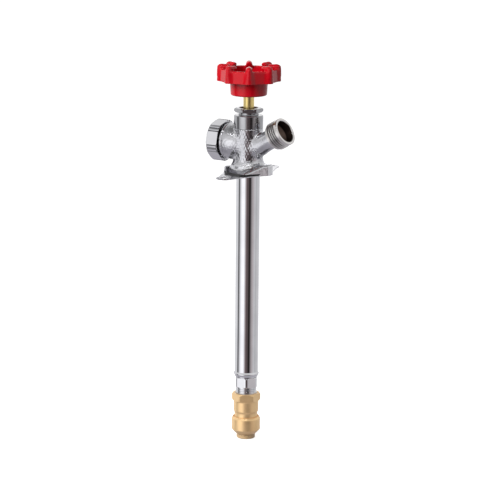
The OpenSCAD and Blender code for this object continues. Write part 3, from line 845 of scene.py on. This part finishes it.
# Dark grey for the thread's valleys and the cap's grooves: painted shade.
GROOVE_SHADE = metal("painted_groove_shade", (0.16, 0.16, 0.17), (0.24, 0.24, 0.25), (0.2, 0.3), 900, 0.2, 0.0002)
STEEL = metal("stainless_steel", (0.55, 0.55, 0.55), (0.65, 0.65, 0.65), (0.2, 0.3), 900, 0.1, 0.0001)
RED = enamel()
RUBBER = plain("black_rubber", (0.012, 0.012, 0.012), (0.025, 0.025, 0.025), 0.6)
# Dark plastic for the breaker's insert, and also painted shade in the flange's gap.
DARK_PLASTIC_AND_SHADE = plain("dark_plastic", (0.015, 0.015, 0.015), (0.03, 0.03, 0.03), 0.45)
WHITE = plain("white_plastic", (0.7, 0.7, 0.68), (0.8, 0.8, 0.78), 0.4)
TAPE = plain("ptfe", (0.8, 0.8, 0.8), (0.88, 0.88, 0.88), 0.5, 500, 0.3)
TAN = plain("tan_plastic", (0.68, 0.46, 0.24), (0.76, 0.53, 0.29), 0.35)


# ---------------------------------------------------------------- pieces on their bodies
def dress(piece, mat):
    """Gives a piece one material."""
    piece.data.materials.clear()
    piece.data.materials.append(mat)


def line_faces(piece, mat, chosen):
    """Gives the faces whose middles are chosen their own material."""
    piece.data.materials.append(mat)
    faces = piece.data.polygons
    middles = np.array([face.center for face in faces]) / MM
    index = np.zeros(len(faces), np.int32)
    faces.foreach_get("material_index", index)
    index[chosen(middles.T)] = len(piece.data.materials) - 1
    faces.foreach_set("material_index", index)
    piece.data.update()


def in_casting_bore(p):
    """The casting's unplated insides, coloured far darker than bare brass as painted shade."""
    _, along_outlet = rod_field(p, OUTLET_ROOT, OUTLET_AXIS, 0)
    _, along_breaker = rod_field(p, BREAKER_ROOT, BREAKER_AXIS, 0)
    clear_of_slots = 30
    return (np.abs(hollow_field(p, along_outlet, along_breaker)) < 0.15) & (np.abs(p[1]) < clear_of_slots)


def in_flange(p):
    """The flange, which is smoother than the rest of the casting."""
    return (p[2] < FLANGE_TOP) & (np.hypot(p[0], p[1]) > TUBE_R + 0.5)


def in_flange_gap_painted_shade(p):
    """The shadow gap under the raised diamond, whose faces get near-black material as painted shade."""
    height_fits = np.abs(p[2] - GAP_Z) < GAP_HALF + 0.15
    outside_column = np.hypot(p[0], p[1]) > BODY_R - 0.7
    in_length = np.abs(p[1]) < GAP_Y + GAP_REACH + 0.2
    return height_fits & (diamond_field(p[0], p[1]) < -0.3) & outside_column & in_length


def in_outlet_bore(p):
    """The outlet's unplated inside, coloured far darker than bare brass as painted shade."""
    side, reach = rod_field(p, OUTLET_ROOT, OUTLET_AXIS, 0)
    return (side < MOUTH_R + 0.05) & (reach < OUTLET_REACH - 0.2)


def in_thread_root(p):
    """The valleys of the hose thread, which get painted shade."""
    side, reach = rod_field(p, OUTLET_ROOT, OUTLET_AXIS, 0)
    threaded = (reach > NECK_END + 0.5) & (reach < 43.3)
    return (side > MOUTH_R + 0.5) & (side < THREAD_ROOT_R + 0.4) & threaded


def in_countersink(p):
    """The unplated countersink in the packing nut's top, coloured far darker than bare brass as painted
    shade.
    """
    countersink_r = 8.6
    return (np.hypot(p[0], p[1]) < countersink_r) & (p[2] > BONNET_TOP + 0.5)


def add(piece, mat, body, slot, *nodes):
    """Gives a piece its material and body, and hides the CAD nodes that it stands for. slot is not used."""
    dress(piece, mat)
    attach(piece, body)
    if nodes:
        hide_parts(*nodes)
    return piece


casting = add(body_casting(), CAST, "body", "cast_chrome", "valve_body")
line_faces(casting, FLANGE, in_flange)
line_faces(casting, BARE_BRASS_AND_SHADE, in_casting_bore)
# Near-black faces in the flange's gap: painted shade, as no dark part lies there.
line_faces(casting, DARK_PLASTIC_AND_SHADE, in_flange_gap_painted_shade)
add(bonnet(), MACHINED, "body", "polished_chrome")
outlet = add(outlet_thread(), SATIN, "body", "polished_chrome")
line_faces(outlet, BARE_BRASS_AND_SHADE, in_outlet_bore)
line_faces(outlet, GROOVE_SHADE, in_thread_root)
add(handle(), RED, "stem", "red_paint", "handle")
nut = add(packing_nut(), MACHINED, "body", "polished_chrome", "packing_nut")
line_faces(nut, BARE_BRASS_AND_SHADE, in_countersink)
add(barrel_tube(), POLISHED, "body", "polished_chrome", "barrel_tube")
add(seat_body(), POLISHED, "body", "polished_chrome", "seat_body")
add(coupling_body(), SATIN_BRASS, "body", "satin_brass", "coupling_body")
add(coupling_end_cap(), SATIN_BRASS, "body", "satin_brass", "coupling_end_cap")
add(release_collar(), TAN, "release_collar", "tan_plastic", "release_collar")
cap = add(breaker_cap(), POLISHED, "body", "polished_chrome", "breaker_cap")
line_faces(cap, GROOVE_SHADE, in_cap_groove)
spring = add(breaker_spring(), STEEL, "body", "steel", "breaker_spring")
# At its limit the poppet leaves the spring 0.24 of its length
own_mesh(spring)

# CAD nodes that keep their shape
CARRIED = {
    "thread_seal_tape": TAPE, "packing_washer": YELLOW_BRASS, "stem_packing": TAPE,
    "handle_screw": STEEL, "stem": YELLOW_BRASS, "operating_rod": YELLOW_BRASS,
    "washer_cup": YELLOW_BRASS, "seat_washer": RUBBER, "washer_screw": YELLOW_BRASS,
    "breaker_insert": DARK_PLASTIC_AND_SHADE, "breaker_o_ring": RUBBER, "breaker_poppet": WHITE,
    "breaker_seal": RUBBER, "coupling_o_ring": RUBBER,
    "o_ring_protector": WHITE, "grab_ring": STEEL,
}
for name, mat in CARRIED.items():
    dress(NODES[name], mat)


# ---------------------------------------------------------------- stage, light and camera
def studio():
    """White behind the object, and bands of grey round it in what it reflects."""
    world = bpy.data.worlds.new("studio")
    bpy.context.scene.world = world
    world.use_nodes = True
    nodes, links = world.node_tree.nodes, world.node_tree.links
    nodes.clear()
    place = nodes.new("ShaderNodeTexCoord")
    split = nodes.new("ShaderNodeSeparateXYZ")
    links.new(place.outputs["Generated"], split.inputs[0])
    ramp = nodes.new("ShaderNodeValToRGB")
    links.new(share_of_circle(nodes, links, split), ramp.inputs[0])
    paint_bands(ramp.color_ramp)
    ray = nodes.new("ShaderNodeLightPath")
    mix = nodes.new("ShaderNodeMixShader")
    bands, white = nodes.new("ShaderNodeBackground"), nodes.new("ShaderNodeBackground")
    # The bands light diffuse surfaces less than they show in gloss
    gloss_strength, less_for_diffuse, white_strength = 1.6, -0.95, 1.2
    strength = arithmetic(
        nodes, links, "MULTIPLY_ADD", ray.outputs["Is Diffuse Ray"], less_for_diffuse, gloss_strength)
    links.new(strength, bands.inputs["Strength"])
    white.inputs["Color"].default_value = (1, 1, 1, 1)
    white.inputs["Strength"].default_value = white_strength
    links.new(by_height(nodes, links, split.outputs["Z"], ramp.outputs["Color"]), bands.inputs["Color"])
    links.new(ray.outputs["Is Camera Ray"], mix.inputs["Fac"])
    links.new(bands.outputs[0], mix.inputs[1])
    links.new(white.outputs[0], mix.inputs[2])
    out = nodes.new("ShaderNodeOutputWorld")
    links.new(mix.outputs[0], out.inputs["Surface"])


def arithmetic(nodes, links, operation, first, *others):
    """A math node on a linked value, with plain numbers or linked values after it."""
    node = nodes.new("ShaderNodeMath")
    node.operation = operation
    links.new(first, node.inputs[0])
    for i, other in enumerate(others, start=1):
        if isinstance(other, (int, float)):
            node.inputs[i].default_value = other
        else:
            links.new(other, node.inputs[i])
    return node.outputs[0]


def share_of_circle(nodes, links, split):
    """The angle to the viewer's right, seen from the object, as 0 to 1 with 0.5 towards the viewer."""
    turn = arithmetic(nodes, links, "ARCTAN2", split.outputs["Y"], split.outputs["X"])
    half_circle_on = 1.0 + (90 - FACING) / 360 + 0.5
    shifted = arithmetic(nodes, links, "MULTIPLY_ADD", turn, 1 / (2 * pi), half_circle_on)
    return arithmetic(nodes, links, "FRACT", shifted)


def pale_floor():
    """A pale floor just under the object, left out of its reflections."""
    low = CAD_BOX[0][2] - 0.0005
    bpy.ops.mesh.primitive_circle_add(vertices=96, radius=9, fill_type="NGON", location=(0, 0, low))
    floor = bpy.context.object
    floor.name = "floor"
    mat, _, _, shader, _ = material("floor")
    shader.inputs["Base Color"].default_value = (0.9, 0.9, 0.9, 1)
    shader.inputs["Roughness"].default_value = 0.9
    shader.inputs["Emission Color"].default_value = (1, 1, 1, 1)
    shader.inputs["Emission Strength"].default_value = 0.75
    dress(floor, mat)
    floor.visible_glossy = False
    floor.visible_diffuse = False


def by_height(nodes, links, height, bands):
    """Turns the bands to a pale ceiling that darkens overhead, and to a grey ground below."""
    overhead = spread(nodes, links, height, 0.62, 0.18, 0.55, 0.9)
    up = blend_node(nodes, links, spread(nodes, links, height, 0, 1, 0.05, 0.35))
    links.new(bands, up.inputs["A"])
    links.new(overhead, up.inputs["B"])
    down = blend_node(nodes, links, spread(nodes, links, height, 0, 1, -0.3, -0.65))
    links.new(up.outputs["Result"], down.inputs["A"])
    down.inputs["B"].default_value = (0.34, 0.33, 0.36, 1)
    return down.outputs["Result"]


def soft_light(name, turn, height, width, depth, power, shines):
    """A panel of light, turn degrees right of the view and height degrees up. shines shows it in gloss."""
    data = bpy.data.lights.new(name, "AREA")
    data.shape = "RECTANGLE"
    data.energy = power
    data.size, data.size_y = width, depth
    lamp = bpy.data.objects.new(name, data)
    bpy.context.scene.collection.objects.link(lamp)
    away = direction(FACING + turn, height)
    distance = 1.3
    lamp.location = away * distance
    lamp.rotation_euler = away.to_track_quat("Z", "Y").to_euler()
    lamp.visible_glossy = shines


def direction(azimuth, height):
    """The way from the object at an azimuth and a height, in degrees, as the view's are counted."""
    azimuth, height = radians(azimuth), radians(height)
    return Vector((sin(azimuth) * cos(height), -cos(azimuth) * cos(height), sin(height)))


def paint_bands(ramp):
    """Brightness round the studio, by degrees to the viewer's right. Near the viewer it is warmer."""
    bands = [
        (-180, 0.85), (-165, 0.70), (-150, 0.56), (-124, 0.64), (-104, 0.56), (-96, 0.10), (-90, 0.05),
        (-84, 0.25), (-74, 0.55), (-64, 0.80), (-54, 0.96), (-32, 0.96), (-25, 0.59), (-15, 0.20),
        (-6, 0.07), (4, 0.08), (13, 0.03), (23, 0.005), (28, 0.05), (35, 0.17), (45, 0.31),
        (56, 0.38), (68, 0.48), (78, 0.50), (89, 0.40), (103, 0.48), (125, 0.48), (150, 0.56),
        (165, 0.70), (180, 0.85),
    ]
    while len(ramp.elements) > 1:
        ramp.elements.remove(ramp.elements[-1])
    for i, (angle, level) in enumerate(bands):
        spot = (angle + 180) / 360
        element = ramp.elements[0] if i == 0 else ramp.elements.new(spot)
        element.position = spot
        warm = 0.28 * (-20 < angle < 25) + 0.10 * (25 < angle < 62)
        element.color = (level * (1 + warm), level, level * 1.02, 1)


def camera():
    """The photograph's view: a long lens from the front right, rolled by half a degree."""
    scene = bpy.context.scene
    data = bpy.data.cameras.new("camera")
    eye = bpy.data.objects.new("camera", data)
    scene.collection.objects.link(eye)
    pitch, distance, frame_width, aim_height, aim_right = 11.8, 2.2, 0.4665, -0.0730, 0.0024
    back = direction(FACING, pitch)
    right = Vector((cos(radians(FACING)), sin(radians(FACING)), 0))
    target = Vector((0, 0, aim_height)) + right * aim_right
    roll = Quaternion((0, 0, 1), radians(0.54))
    eye.location = target + back * distance
    eye.rotation_euler = (back.to_track_quat("Z", "Y") @ roll).to_euler()
    data.sensor_width = 36
    data.lens = data.sensor_width * distance / frame_width
    data.clip_end = 50
    scene.camera = eye


studio()
pale_floor()
soft_light("key", -50, 28, 0.7, 0.7, 17, False)
soft_light("strip", -22, 50, 1.1, 0.03, 1.4, True)
camera()
bpy.context.scene.view_settings.view_transform = "Standard"
